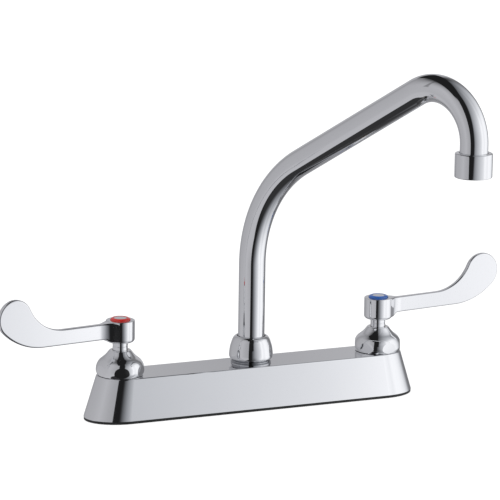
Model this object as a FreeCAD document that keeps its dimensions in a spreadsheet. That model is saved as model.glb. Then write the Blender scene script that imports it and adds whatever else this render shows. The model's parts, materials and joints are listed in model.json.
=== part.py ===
import FreeCAD, Part
import math
import os

import Sketcher
from FreeCAD import Placement, Rotation, Vector

# Deck faucet with two wrist blades and a swivelling bent spout, in millimetres.
# The origin is on the deck under the spout, +Z is up, +X runs to the cold valve and -Y to the user.

sizes = {
    # clearances
    "fit": 0.05,              # radial running clearance
    "endPlay": 0.1,           # clearance along an axis
    "looseFit": 0.3,          # round pieces that only pass through
    "lapGap": 0.02,           # film between the two lapped discs
    "overcut": 1.0,           # how far a cut runs past the material
    # casting and gasket
    "valveCentres": 203.2,    # between the two valve axes
    "gasketThick": 1.8,
    "gasketInset": 0.3,       # gasket edge inside the casting's edge
    "bodyTop": 31.6,          # top face above the deck
    "topRadius": 17.1,        # end radius of the top face, round each valve axis
    "footLength": 256.2,
    "footRadius": 21.1,       # end radius of the foot, half its depth
    "shellWall": 2.6,
    "topPlate": 3.2,
    "edgeRound": 1.0,         # bevelled rim of the top face
    "towerWall": 3.35,        # wall round each inlet socket
    "waterwayHeight": 21.5,
    "waterwayBore": 4.8,
    "waterwayWall": 2.6,
    # inlets under the deck
    "shankRadius": 10.5,
    "shankReliefRadius": 9.8, # groove between the lock nut's seat and the free end
    "shankRelief": 1.5,
    "shankBore": 6.2,
    "shankDepth": 50.0,       # reach below the deck face
    "shankTop": 10.9,
    "deckThick": 12.0,
    "washerRadius": 19.0,
    "washerThick": 2.0,
    "nutFlats": 32.0,
    "nutHeight": 8.0,
    # valve well and bonnet boss
    "wellFloor": 14.0,
    "webThick": 3.0,
    "portRadius": 5.5,
    "wellRadius": 11.4,
    "bossWall": 2.0,
    "bossTop": 38.0,
    # cartridge
    "cartridgeRadius": 10.4,
    "sealThick": 2.2,
    "discRadius": 8.95,
    "discThick": 2.5,
    "discPort": 2.2,
    "discPortOffset": 5.2,
    "chamberHeight": 5.0,
    "windowWidth": 8.0,
    "ringLand": 1.0,          # solid land below the packing ring
    "ringSlot": 2.0,
    "ringSection": 1.7,
    "flangeRadius": 12.9,
    "flangeThick": 2.5,
    "neckWall": 1.0,
    "neckTop": 49.0,
    # stem
    "stemRadius": 5.4,
    "stemCollar": 7.0,
    "stemCollarThick": 2.2,
    "tongueWidth": 3.2,
    "tongueLength": 13.0,
    "tongueDepth": 1.0,
    "stemRingHeight": 33.0,
    "stemRingSection": 1.2,
    "stemRingSlot": 1.56,
    "handleSeatHeight": 55.3,
    "broachRadius": 4.4,
    "broachLength": 10.4,      # the stem's end above the handle's seat
    "screwRadius": 2.0,
    "screwHole": 2.6,
    "screwReach": 0.2,        # how far the screw passes below the seat
    # bonnet
    "bonnetFoot": 31.9,
    "bonnetFootRadius": 16.3,
    "bonnetWaist": 17.15,
    "bonnetWaistHeight": 36.2,
    "bonnetShoulder": 14.9,
    "bonnetShoulderHeight": 41.9,
    "bonnetShoulderBulge": 16.5,
    "bonnetShoulderBulgeHeight": 39.6,
    "bonnetFlank": 10.6,
    "bonnetFlankHeight": 45.7,
    "bonnetNose": 8.0,
    "bonnetNoseHeight": 48.9,
    "bonnetTop": 49.4,
    "bonnetLip": 0.5,         # bevel round the top
    "bonnetFlats": 32.6,      # across the six flats
    "hotClock": 12.0,         # turn of the hot bonnet's flats, degrees
    "coldClock": 34.5,
    # handle, with its heights above its seat on the stem
    "hubRadius": 10.3,
    "hubHeight": 15.7,
    "hubRound": 2.5,
    "rimRound": 0.6,
    "hubWeb": 1.8,
    "screwHeadRadius": 4.4,
    "screwHeadHeight": 2.0,
    "screwSocket": 1.5,
    "screwSocketDepth": 1.2,
    "bladeThick": 5.0,
    "bladeRound": 1.2,
    "armBottom": 3.2,         # underside of the arm at the hub
    "armTop": 14.4,
    "armRise": 1.1,           # degrees
    "rootReach": 15.5,        # where the arm's flared root ends
    "rootWidth": 16.5,
    "headRadius": 13.4,
    "headReach": 88.2,
    "headHeight": 27.4,
    "bellyRadius": 47.6,
    "napeRadius": 30.2,
    "hotYaw": 12.0,           # hot blade, turned towards the user from -X
    "coldYaw": 4.0,           # cold blade, turned away from the user from +X
    # index buttons, with their heights above the handle's seat too
    "buttonRadius": 7.2,
    "buttonSeat": 14.4,
    "buttonRim": 16.1,
    "buttonCrown": 16.8,      # half way up the domed rim
    "buttonCrownRadius": 6.2,
    "buttonTop": 17.3,
    "indexRadius": 4.55,
    "indexThick": 0.5,
    # spout socket in the casting
    "sleeveRadius": 10.85,
    "spoutBossWall": 2.3,
    "spoutBossTop": 44.0,
    "socketFloor": 14.0,
    # spout sleeve
    "sleeveFoot": 18.0,
    "sleeveBore": 7.2,
    "tubeSeat": 34.0,
    "sleeveFlange": 12.6,
    "sleeveFlangeThick": 2.0,
    "sleeveRingLow": 21.0,
    "sleeveRingHigh": 26.5,
    "sleeveRingSlot": 2.1,
    "sleeveRingSection": 1.7,
    "glideThick": 1.0,
    # spout nut
    "spoutNutFoot": 34.6,
    "spoutNutFootRadius": 14.6,
    "spoutNutWaist": 15.8,
    "spoutNutWaistHeight": 36.4,
    "spoutNutMiddle": 15.0,
    "spoutNutMiddleHeight": 43.6,
    "spoutNutShoulder": 13.0,
    "spoutNutShoulderHeight": 49.2,
    "spoutNutTop": 51.2,
    "spoutNutTopRadius": 11.3,
    "spoutNutMouth": 10.15,
    # spout tube
    "tubeRadius": 9.525,
    "tubeWall": 1.2,
    "reach": 203.2,
    "lowerCorner": 156.6,     # height where riser and slope would meet
    "upperCorner": 276.6,     # height where slope and drop would meet
    "lowerBend": 93.0,
    "upperBend": 34.0,
    "straightDrop": 5.3,      # straight end of the tube above the outlet
    "swing": 68.6,            # spout, turned towards the user from +X
    # outlet
    "outletHeight": 16.6,
    "outletRadius": 12.75,
    "outletLip": 1.2,
    "outletChamfer": 1.0,
    "outletFootRound": 1.0,
    "outletMouth": 10.0,
    "collarWall": 1.4,
    "collarHeight": 7.0,
    "washerHeight": 1.4,
    "insertHeight": 4.8,
    "insertHole": 0.9,
    "insertHoleRing": 6.0,
    "insertHoles": 12,        # a count
    "screenThick": 0.5,
}

doc = FreeCAD.newDocument("faucet")
sheet = doc.addObject("Spreadsheet::Sheet", "Sizes")
for row, (name, value) in enumerate(sizes.items(), start=1):
    sheet.set("A%d" % row, name)
    sheet.set("B%d" % row, str(value))
    sheet.setAlias("B%d" % row, name)
doc.recompute()


class Size:
    # a number that remembers the sheet expression it comes from
    def __init__(self, value, text):
        self.value = value
        self.text = text

    def join(self, sign, other, value):
        return Size(value, "(%s %s %s)" % (self.text, sign, asSize(other).text))

    def __add__(self, other):
        return self.join("+", other, self.value + asSize(other).value)

    def __sub__(self, other):
        return self.join("-", other, self.value - asSize(other).value)

    def __mul__(self, other):
        return self.join("*", other, self.value * asSize(other).value)

    def __truediv__(self, other):
        return self.join("/", other, self.value / asSize(other).value)

    def __neg__(self):
        return Size(-self.value, "(-1 * %s)" % self.text)

    def root(self):
        return Size(math.sqrt(self.value), "sqrt(%s)" % self.text)


def asSize(item):
    return item if isinstance(item, Size) else Size(float(item), repr(float(item)))


class Dimensions:
    # the sheet's cells as Size values
    def __getattr__(self, name):
        return Size(float(sizes[name]), "Sizes." + name)


s = Dimensions()
zero = asSize(0)
made = []


def bind(target, path, item):
    target.setExpression(path, asSize(item).text)


def newBody(label, x=zero, angle=zero):
    # a body whose origin stands at x on the X axis, turned by angle degrees about +Z
    body = doc.addObject("PartDesign::Body", label)
    made.append(body)
    body.Placement = Placement(Vector(x.value, 0, 0), Rotation(Vector(0, 0, 1), angle.value))
    bind(body, "Placement.Base.x", x)
    if angle is not zero:
        bind(body, "Placement.Rotation.Angle", angle)
    return body


def newSketch(body, plane, offset=zero):
    sketch = body.newObject("Sketcher::SketchObject", "sketch")
    support = [o for o in body.Origin.OriginFeatures if o.Role == plane][0]
    sketch.AttachmentSupport = [(support, "")]
    sketch.MapMode = "FlatFace"
    if offset is not zero:
        sketch.AttachmentOffset = Placement(Vector(0, 0, offset.value), Rotation())
        bind(sketch, "AttachmentOffset.Base.z", offset)
    return sketch


def constrain(sketch, *terms):
    # adds one constraint, and binds it when its last term is a Size
    if isinstance(terms[-1], Size):
        index = sketch.addConstraint(Sketcher.Constraint(*terms[:-1], terms[-1].value))
        bind(sketch, "Constraints[%d]" % index, terms[-1])
    else:
        sketch.addConstraint(Sketcher.Constraint(*terms))


def fixPoint(sketch, index, pos, x, y):
    constrain(sketch, "DistanceX", -1, 1, index, pos, x)
    constrain(sketch, "DistanceY", -1, 1, index, pos, y)


def arcGeometry(start, middle, end):
    # an arc through three points, and whether it runs clockwise
    arc = Part.Arc(Vector(*start, 0), Vector(*middle, 0), Vector(*end, 0)).toShape().Curve
    cross = (middle[0] - start[0]) * (end[1] - start[1]) - (middle[1] - start[1]) * (end[0] - start[0])
    circle = Part.Circle(arc.Center, Vector(0, 0, 1), arc.Radius)
    first, last = (start, end) if cross > 0 else (end, start)
    angles = [math.atan2(p[1] - arc.Center.y, p[0] - arc.Center.x) for p in (first, last)]
    if angles[1] < angles[0]:
        angles[1] += 2 * math.pi
    return Part.ArcOfCircle(circle, *angles), cross < 0


def drawOutline(sketch, corners):
    # A closed outline. A corner is (x, y), or (x, y, middleX, middleY) where an arc leads to it.
    # Every corner and every arc's middle point is held by two bound distances.
    corners = [tuple(asSize(c) for c in corner) for corner in corners]
    spans = []
    for number, corner in enumerate(corners):
        before = corners[number - 1]
        start = (before[0].value, before[1].value)
        end = (corner[0].value, corner[1].value)
        if len(corner) == 2:
            index = sketch.addGeometry(Part.LineSegment(Vector(*start, 0), Vector(*end, 0)))
            spans.append((index, 1, 2))
        else:
            middle = (corner[2].value, corner[3].value)
            arc, clockwise = arcGeometry(start, middle, end)
            index = sketch.addGeometry(arc)
            spans.append((index, 2, 1) if clockwise else (index, 1, 2))
            point = sketch.addGeometry(Part.Point(Vector(*middle, 0)), True)
            fixPoint(sketch, point, 1, corner[2], corner[3])
            constrain(sketch, "PointOnObject", point, 1, index)
    for number, (index, first, last) in enumerate(spans):
        after, afterFirst = spans[(number + 1) % len(spans)][:2]
        constrain(sketch, "Coincident", index, last, after, afterFirst)
        fixPoint(sketch, index, last, corners[number][0], corners[number][1])


def roundCorner(x, y, radius, xSide, ySide):
    # The two ends of a quarter round at the corner (x, y) of two square edges. xSide and ySide
    # say on which side of the corner the material lies. The first end is on the y edge.
    bulge = radius * (1 - math.sqrt(0.5))
    xEnd = (x + radius * xSide, y)
    yEnd = (x, y + radius * ySide)
    return xEnd, yEnd, (x + bulge * xSide, y + bulge * ySide)


def drawCircle(sketch, x, y, radius):
    index = sketch.addGeometry(Part.Circle(Vector(x.value, y.value, 0), Vector(0, 0, 1), radius.value))
    constrain(sketch, "Radius", index, radius)
    fixPoint(sketch, index, 3, x, y)
    return index


def drawStadium(sketch, centre, radius):
    # two half circles about (-centre, 0) and (centre, 0), joined by straight sides
    c, r = centre.value, radius.value
    right = sketch.addGeometry(Part.ArcOfCircle(Part.Circle(Vector(c, 0, 0), Vector(0, 0, 1), r),
                                                -math.pi / 2, math.pi / 2))
    top = sketch.addGeometry(Part.LineSegment(Vector(c, r, 0), Vector(-c, r, 0)))
    left = sketch.addGeometry(Part.ArcOfCircle(Part.Circle(Vector(-c, 0, 0), Vector(0, 0, 1), r),
                                               math.pi / 2, math.pi * 1.5))
    bottom = sketch.addGeometry(Part.LineSegment(Vector(-c, -r, 0), Vector(c, -r, 0)))
    chain = [right, top, left, bottom]
    for index, after in zip(chain, chain[1:] + chain[:1]):
        constrain(sketch, "Tangent", index, 2, after, 1)
    constrain(sketch, "Radius", right, radius)
    fixPoint(sketch, right, 3, centre, zero)
    fixPoint(sketch, left, 3, -centre, zero)


def drawRectangle(sketch, x0, y0, x1, y1):
    drawOutline(sketch, [(x0, y0), (x1, y0), (x1, y1), (x0, y1)])


def revolve(body, corners, kind="PartDesign::Revolution"):
    # turns an outline of (radius, height) corners about the body's own vertical axis
    sketch = newSketch(body, "XZ_Plane")
    drawOutline(sketch, corners)
    feature = body.newObject(kind, "turned")
    feature.Profile = sketch
    feature.ReferenceAxis = (sketch, ["V_Axis"])
    feature.Angle = 360
    doc.recompute()
    return feature


def turnedPart(label, corners, x=zero, angle=zero):
    body = newBody(label, x, angle)
    revolve(body, corners)
    return body


def extrude(body, sketch, length, kind="PartDesign::Pad", bothWays=False, reverse=False):
    feature = body.newObject(kind, "extruded")
    feature.Profile = sketch
    bind(feature, "Length", length)
    if bothWays:
        feature.Midplane = True
    feature.Reversed = reverse
    doc.recompute()
    return feature


def edgeNames(feature, wanted):
    return ["Edge%d" % (n + 1) for n, edge in enumerate(feature.Shape.Edges) if wanted(edge)]


def cylinder(name, radius, low, high, x=zero):
    item = doc.addObject("Part::Cylinder", name)
    bind(item, "Radius", radius)
    bind(item, "Height", high - low)
    bind(item, "Placement.Base.x", x)
    bind(item, "Placement.Base.z", low)
    return item


def crossCylinder(name, radius, height, length):
    # a cylinder along X, centred on the spout axis at the given height
    item = doc.addObject("Part::Cylinder", name)
    item.Placement = Placement(Vector(), Rotation(Vector(0, 1, 0), 90))
    bind(item, "Radius", radius)
    bind(item, "Height", length)
    bind(item, "Placement.Base.x", -length / 2)
    bind(item, "Placement.Base.z", height)
    return item


def fuse(name, shapes):
    item = doc.addObject("Part::MultiFuse", name)
    item.Shapes = shapes
    return item


def cut(label, base, tool):
    item = doc.addObject("Part::Cut", label)
    item.Base = base
    item.Tool = tool
    made.append(item)
    return item


# Casting

valveX = s.valveCentres / 2
footCentre = s.footLength / 2 - s.footRadius
shellFoot = s.gasketThick
shellCeiling = s.bodyTop - s.topPlate
towerRadius = s.shankRadius + s.fit + s.towerWall
bossRadius = s.wellRadius + s.bossWall
spoutBossRadius = s.sleeveRadius + s.fit + s.spoutBossWall
plateMiddle = s.bodyTop - s.topPlate / 2


def loft(body, kind, levels):
    # through stadium outlines, each given as (height, centre, radius)
    sketches = []
    for height, centre, radius in levels:
        sketch = newSketch(body, "XY_Plane", height)
        drawStadium(sketch, centre, radius)
        sketches.append(sketch)
    feature = body.newObject(kind, "tapered")
    feature.Profile = sketches[0]
    feature.Sections = sketches[1:]
    feature.Ruled = True
    doc.recompute()
    return feature


def makeDeckBody():
    shell = doc.addObject("PartDesign::Body", "casting_shell")
    loft(shell, "PartDesign::AdditiveLoft", [
        (shellFoot, footCentre, s.footRadius), (s.bodyTop - s.edgeRound, valveX, s.topRadius),
        (s.bodyTop, valveX, s.topRadius - s.edgeRound / 2)])
    loft(shell, "PartDesign::SubtractiveLoft", [
        (shellFoot, footCentre, s.footRadius - s.shellWall),
        (shellCeiling, valveX, s.topRadius - s.shellWall)])
    solids = [shell]
    voids = []
    for side, x in (("hot", -valveX), ("cold", valveX)):
        solids.append(cylinder(side + "_tower", towerRadius, shellFoot, plateMiddle, x))
        solids.append(cylinder(side + "_boss", bossRadius, plateMiddle, s.bossTop, x))
        voids.append(cylinder(side + "_socket", s.shankRadius + s.fit, zero, s.wellFloor - s.webThick, x))
        voids.append(cylinder(side + "_port", s.portRadius, zero, s.bossTop, x))
        voids.append(cylinder(side + "_well", s.wellRadius, s.wellFloor, s.bossTop + s.overcut, x))
    solids.append(cylinder("spout_post", spoutBossRadius, s.socketFloor - s.webThick, s.spoutBossTop))
    waterway = s.waterwayBore + s.waterwayWall
    solids.append(crossCylinder("water_tube", waterway, s.waterwayHeight, s.valveCentres))
    socket = s.sleeveRadius + s.fit
    voids.append(cylinder("spout_socket", socket, s.socketFloor, s.spoutBossTop + s.overcut))
    voids.append(crossCylinder("water_bore", s.waterwayBore, s.waterwayHeight, s.valveCentres))
    return cut("deck_body", fuse("casting_solids", solids), fuse("casting_voids", voids))


def makeGasket():
    body = newBody("deck_gasket")
    sketch = newSketch(body, "XY_Plane")
    drawStadium(sketch, footCentre, s.footRadius - s.gasketInset)
    for x in (-valveX, valveX):
        drawCircle(sketch, x, zero, s.shankRadius + s.looseFit)
    extrude(body, sketch, s.gasketThick)


# Inlets under the deck

def makeInlet(side, x):
    nutTop = -(s.deckThick + s.washerThick)
    nutFoot = nutTop - s.nutHeight
    turnedPart(side + "_inlet_shank", [
        (s.shankBore, s.shankTop), (s.shankRadius, s.shankTop), (s.shankRadius, nutFoot),
        (s.shankReliefRadius, nutFoot), (s.shankReliefRadius, nutFoot - s.shankRelief),
        (s.shankRadius, nutFoot - s.shankRelief), (s.shankRadius, -s.shankDepth),
        (s.shankBore, -s.shankDepth)], x)
    turnedPart(side + "_mount_washer", [
        (s.shankRadius + s.looseFit, -s.deckThick), (s.washerRadius, -s.deckThick),
        (s.washerRadius, nutTop), (s.shankRadius + s.looseFit, nutTop)], x)
    nut = newBody(side + "_lock_nut", x)
    sketch = newSketch(nut, "XY_Plane", nutTop)
    corner = s.nutFlats / math.sqrt(3)
    drawOutline(sketch, [(corner * math.cos(math.radians(a)), corner * math.sin(math.radians(a)))
                         for a in range(0, 360, 60)])
    drawCircle(sketch, zero, zero, s.shankRadius + s.fit)
    extrude(nut, sketch, s.nutHeight, reverse=True)


# Valve cartridge

sealTop = s.wellFloor + s.sealThick
fixedTop = sealTop + s.discThick
movingFoot = fixedTop + s.lapGap
movingTop = movingFoot + s.discThick
chamberTop = movingTop + s.chamberHeight
cupBore = s.discRadius + s.fit
stemBore = s.stemRadius + s.fit
collarTop = chamberTop - s.endPlay
collarFoot = collarTop - s.stemCollarThick
flangeTop = s.bossTop + s.flangeThick
slotFloor = s.ringLand + chamberTop
seat = s.handleSeatHeight
broachTop = seat + s.broachLength
screwEnd = seat - s.screwReach


def ring(label, outside, section, middle, x=zero):
    # a round-section packing ring that just clears the wall at radius outside
    body = newBody(label, x)
    drawRings(body, outside, section, [middle])


def drawRings(body, outside, section, middles):
    radius = section / 2 - s.fit / 2
    sketch = newSketch(body, "XZ_Plane")
    for middle in middles:
        drawCircle(sketch, outside - s.fit / 2 - radius, middle, radius)
    feature = body.newObject("PartDesign::Revolution", "rings")
    feature.Profile = sketch
    feature.ReferenceAxis = (sketch, ["V_Axis"])
    feature.Angle = 360
    doc.recompute()


def makeCartridge(side, x):
    slot = s.wellRadius - s.ringSection
    slotTop = slotFloor + s.ringSlot
    body = turnedPart(side + "_cartridge_body", [
        (cupBore, s.wellFloor + s.looseFit), (s.cartridgeRadius, s.wellFloor + s.looseFit),
        (s.cartridgeRadius, slotFloor), (slot, slotFloor), (slot, slotTop),
        (s.wellRadius - s.fit, slotTop), (s.wellRadius - s.fit, s.bossTop), (s.flangeRadius, s.bossTop),
        (s.flangeRadius, flangeTop), (stemBore + s.neckWall, flangeTop),
        (stemBore + s.neckWall, s.neckTop), (stemBore, s.neckTop),
        (stemBore, chamberTop), (cupBore, chamberTop)], x)
    # two side windows let the water out of the chamber above the discs
    sketch = newSketch(body, "XZ_Plane")
    drawRectangle(sketch, -s.windowWidth / 2, movingTop, s.windowWidth / 2, chamberTop - s.ringLand)
    extrude(body, sketch, s.cartridgeRadius * 2 + s.overcut, "PartDesign::Pocket", bothWays=True)
    ring(side + "_cartridge_oring", s.wellRadius, s.ringSection, slotFloor + s.ringSlot / 2, x)
    turnedPart(side + "_seat_seal", [
        (s.portRadius + s.looseFit, s.wellFloor), (s.discRadius, s.wellFloor),
        (s.discRadius, sealTop), (s.portRadius + s.looseFit, sealTop)], x)
    makeDisc(side + "_fixed_disc", x, sealTop, "x")
    moving = makeDisc(side + "_moving_disc", x, movingFoot, "y")
    slot = newSketch(moving, "XY_Plane", movingTop)
    halfLength = s.tongueLength / 2 + s.endPlay
    halfWidth = s.tongueWidth / 2 + s.endPlay
    drawRectangle(slot, -halfLength, -halfWidth, halfLength, halfWidth)
    extrude(moving, slot, s.tongueDepth, "PartDesign::Pocket")


def makeDisc(label, x, foot, portsAlong):
    # a ceramic disc with two ports, along X or along Y
    body = newBody(label, x)
    sketch = newSketch(body, "XY_Plane", foot)
    drawCircle(sketch, zero, zero, s.discRadius)
    for offset in (-s.discPortOffset, s.discPortOffset):
        if portsAlong == "x":
            drawCircle(sketch, offset, zero, s.discPort)
        else:
            drawCircle(sketch, zero, offset, s.discPort)
    extrude(body, sketch, s.discThick)
    return body


def makeStem(side, x):
    ringLow = s.stemRingHeight
    ringHigh = s.stemRingHeight + s.stemRingSlot
    slot = s.stemRadius - s.stemRingSection
    tapped = s.screwRadius + s.fit
    body = turnedPart(side + "_stem", [
        (0, collarFoot), (s.stemCollar, collarFoot), (s.stemCollar, collarTop), (s.stemRadius, collarTop),
        (s.stemRadius, ringLow), (slot, ringLow), (slot, ringHigh), (s.stemRadius, ringHigh),
        (s.stemRadius, seat), (s.broachRadius, seat), (s.broachRadius, broachTop), (tapped, broachTop),
        (tapped, screwEnd - s.endPlay), (0, screwEnd - s.endPlay)], x)
    sketch = newSketch(body, "XY_Plane", collarFoot)
    drawRectangle(sketch, -s.tongueLength / 2, -s.tongueWidth / 2, s.tongueLength / 2, s.tongueWidth / 2)
    extrude(body, sketch, collarFoot - movingTop + s.tongueDepth - s.endPlay, reverse=True)
    ring(side + "_stem_oring", stemBore, s.stemRingSection + s.fit, (ringLow + ringHigh) / 2, x)


# Bonnet with six wrench flats

bonnetBore = bossRadius + s.fit


def makeBonnet(side, x, clock):
    body = turnedPart(side + "_bonnet", [
        (bonnetBore, s.bonnetFoot), (s.bonnetFootRadius, s.bonnetFoot),
        (s.bonnetShoulderBulge, s.bonnetShoulderBulgeHeight, s.bonnetWaist, s.bonnetWaistHeight),
        (s.bonnetShoulder, s.bonnetShoulderHeight),
        (s.bonnetNose, s.bonnetNoseHeight, s.bonnetFlank, s.bonnetFlankHeight),
        (s.bonnetNose - s.bonnetLip, s.bonnetTop),
        (stemBore + s.neckWall + s.looseFit, s.bonnetTop),
        (stemBore + s.neckWall + s.looseFit, flangeTop), (bonnetBore, flangeTop)], x, clock)
    sketch = newSketch(body, "XY_Plane", s.bonnetFoot - s.overcut)
    drawCircle(sketch, zero, zero, s.bonnetWaist * 2)
    corner = s.bonnetFlats / math.sqrt(3)
    drawOutline(sketch, [(corner * math.cos(math.radians(a)), corner * math.sin(math.radians(a)))
                         for a in range(30, 390, 60)])
    extrude(body, sketch, s.bonnetTop - s.bonnetFoot + s.overcut * 2, "PartDesign::Pocket", reverse=True)


# Handle, its screw and its index button

recessRadius = s.buttonRadius + s.fit
boreTop = broachTop + s.endPlay
webTop = boreTop + s.hubWeb
armBottom = seat + s.armBottom
armTop = seat + s.armTop
headHeight = seat + s.headHeight
hubTop = seat + s.hubHeight
buttonSeat = seat + s.buttonSeat
buttonTop = seat + s.buttonTop


def tangentCentre(base, slope, radius, side, target, distance, far):
    # centre of a circle that touches the line through base, on the given side of it, and lies
    # at the given distance from target; the farther or nearer of the two along the line
    along = Vector(math.cos(slope), math.sin(slope), 0)
    across = Vector(-math.sin(slope), math.cos(slope), 0) * side * radius
    start = base + across
    toTarget = target - start
    middle = toTarget.dot(along)
    off = toTarget.cross(along).Length
    span = math.sqrt(distance ** 2 - off ** 2)
    return start + along * (middle + span if far else middle - span)


def drawBlade(sketch):
    # Side view of the wrist blade: two straight arm edges, a round head, and the belly and nape
    # arcs that run tangent from one to the other.
    slope = math.radians(s.armRise.value)
    rootX = s.hubRadius.value - s.bladeThick.value / 2
    low = Vector(rootX, armBottom.value, 0)
    high = Vector(rootX, armTop.value, 0)
    head = Vector(s.headReach.value, headHeight.value, 0)
    headRadius, belly, nape = s.headRadius.value, s.bellyRadius.value, s.napeRadius.value
    bellyCentre = tangentCentre(low, slope, belly, 1, head, belly - headRadius, False)
    napeCentre = tangentCentre(high, slope, nape, 1, head, nape + headRadius, False)
    down = Vector(math.sin(slope), -math.cos(slope), 0)
    normal = Vector(0, 0, 1)

    def angle(centre, point):
        return math.atan2(point.y - centre.y, point.x - centre.x)

    bellyStart = bellyCentre + down * belly
    bellyEnd = head + (head - bellyCentre).normalize() * headRadius
    napeStart = head + (napeCentre - head).normalize() * headRadius
    napeEnd = napeCentre + down * nape
    armLow = sketch.addGeometry(Part.LineSegment(low, bellyStart))
    bellyArc = sketch.addGeometry(Part.ArcOfCircle(
        Part.Circle(bellyCentre, normal, belly),
        angle(bellyCentre, bellyStart), angle(bellyCentre, bellyEnd)))
    headArc = sketch.addGeometry(Part.ArcOfCircle(
        Part.Circle(head, normal, headRadius), angle(head, bellyEnd), angle(head, napeStart)))
    napeArc = sketch.addGeometry(Part.ArcOfCircle(
        Part.Circle(napeCentre, normal, nape), angle(napeCentre, napeEnd), angle(napeCentre, napeStart)))
    armHigh = sketch.addGeometry(Part.LineSegment(napeEnd, high))
    close = sketch.addGeometry(Part.LineSegment(high, low))
    constrain(sketch, "Tangent", armLow, 2, bellyArc, 1)
    constrain(sketch, "Tangent", bellyArc, 2, headArc, 1)
    constrain(sketch, "Tangent", headArc, 2, napeArc, 2)
    constrain(sketch, "Tangent", napeArc, 1, armHigh, 1)
    constrain(sketch, "Coincident", armHigh, 2, close, 1)
    constrain(sketch, "Coincident", close, 2, armLow, 1)
    constrain(sketch, "Parallel", armLow, armHigh)
    fixPoint(sketch, close, 1, s.hubRadius - s.bladeThick / 2, armTop)
    fixPoint(sketch, close, 2, s.hubRadius - s.bladeThick / 2, armBottom)
    fixPoint(sketch, headArc, 3, s.headReach, headHeight)
    constrain(sketch, "Radius", headArc, s.headRadius)
    constrain(sketch, "Radius", bellyArc, s.bellyRadius)
    constrain(sketch, "Radius", napeArc, s.napeRadius)


def makeHandle(side, x, yaw):
    body = newBody(side + "_handle", x, yaw)
    sketch = newSketch(body, "XZ_Plane")
    drawBlade(sketch)
    blade = extrude(body, sketch, s.bladeThick, bothWays=True)
    half = s.bladeThick.value / 2
    root = s.hubRadius.value - half
    rounding = body.newObject("PartDesign::Fillet", "blade_edges")
    rounding.Base = (blade, edgeNames(blade, lambda e: all(abs(abs(v.Y) - half) < 0.001 for v in e.Vertexes)
                                      and e.BoundBox.YLength < 0.001 and e.BoundBox.XMax > root + 0.01))
    bind(rounding, "Radius", s.bladeRound)
    doc.recompute()
    # the arm flares to the hub's width
    flare = newSketch(body, "XY_Plane", armBottom)
    drawOutline(flare, [(0, -s.rootWidth / 2), (s.rootReach, -s.bladeThick / 2),
                        (s.rootReach, s.bladeThick / 2), (0, s.rootWidth / 2)])
    extrude(body, flare, armTop - armBottom)
    foot = roundCorner(s.hubRadius, seat, s.hubRound, -1, 1)
    rim = roundCorner(s.hubRadius, hubTop, s.rimRound, -1, -1)
    revolve(body, [(0, seat), foot[0], foot[1] + foot[2],
                   rim[1], rim[0] + rim[2], (0, hubTop)])
    bore = s.broachRadius + s.fit
    boreFoot = seat - s.overcut
    revolve(body, [
        (0, boreFoot), (bore, boreFoot), (bore, boreTop), (s.screwHole, boreTop),
        (s.screwHole, webTop), (s.screwHeadRadius + s.looseFit, webTop),
        (s.screwHeadRadius + s.looseFit, buttonSeat), (recessRadius, buttonSeat),
        (recessRadius, hubTop + s.overcut), (0, hubTop + s.overcut)], "PartDesign::Groove")
    screw = turnedPart(side + "_handle_screw", [
        (0, screwEnd), (s.screwRadius, screwEnd), (s.screwRadius, webTop), (s.screwHeadRadius, webTop),
        (s.screwHeadRadius, webTop + s.screwHeadHeight), (0, webTop + s.screwHeadHeight)], x)
    socket = newSketch(screw, "XY_Plane", webTop + s.screwHeadHeight)
    corner = s.screwSocket * 2 / math.sqrt(3)
    drawOutline(socket, [(corner * math.cos(math.radians(a)), corner * math.sin(math.radians(a)))
                         for a in range(0, 360, 60)])
    extrude(screw, socket, s.screwSocketDepth, "PartDesign::Pocket")
    indexFloor = buttonTop - s.indexThick
    turnedPart(side + "_index_button", [
        (0, buttonSeat), (s.buttonRadius, buttonSeat), (s.buttonRadius, seat + s.buttonRim),
        (s.indexRadius + s.fit, buttonTop, s.buttonCrownRadius, seat + s.buttonCrown),
        (s.indexRadius + s.fit, indexFloor), (0, indexFloor)], x)
    turnedPart(side + "_index_disc", [
        (0, indexFloor), (s.indexRadius, indexFloor), (s.indexRadius, buttonTop), (0, buttonTop)], x)


# Spout sleeve, nut and packing

sleeveFlangeFoot = s.spoutBossTop + s.endPlay
sleeveFlangeTop = sleeveFlangeFoot + s.sleeveFlangeThick
glideFoot = sleeveFlangeTop + s.endPlay
glideTop = glideFoot + s.glideThick


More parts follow.
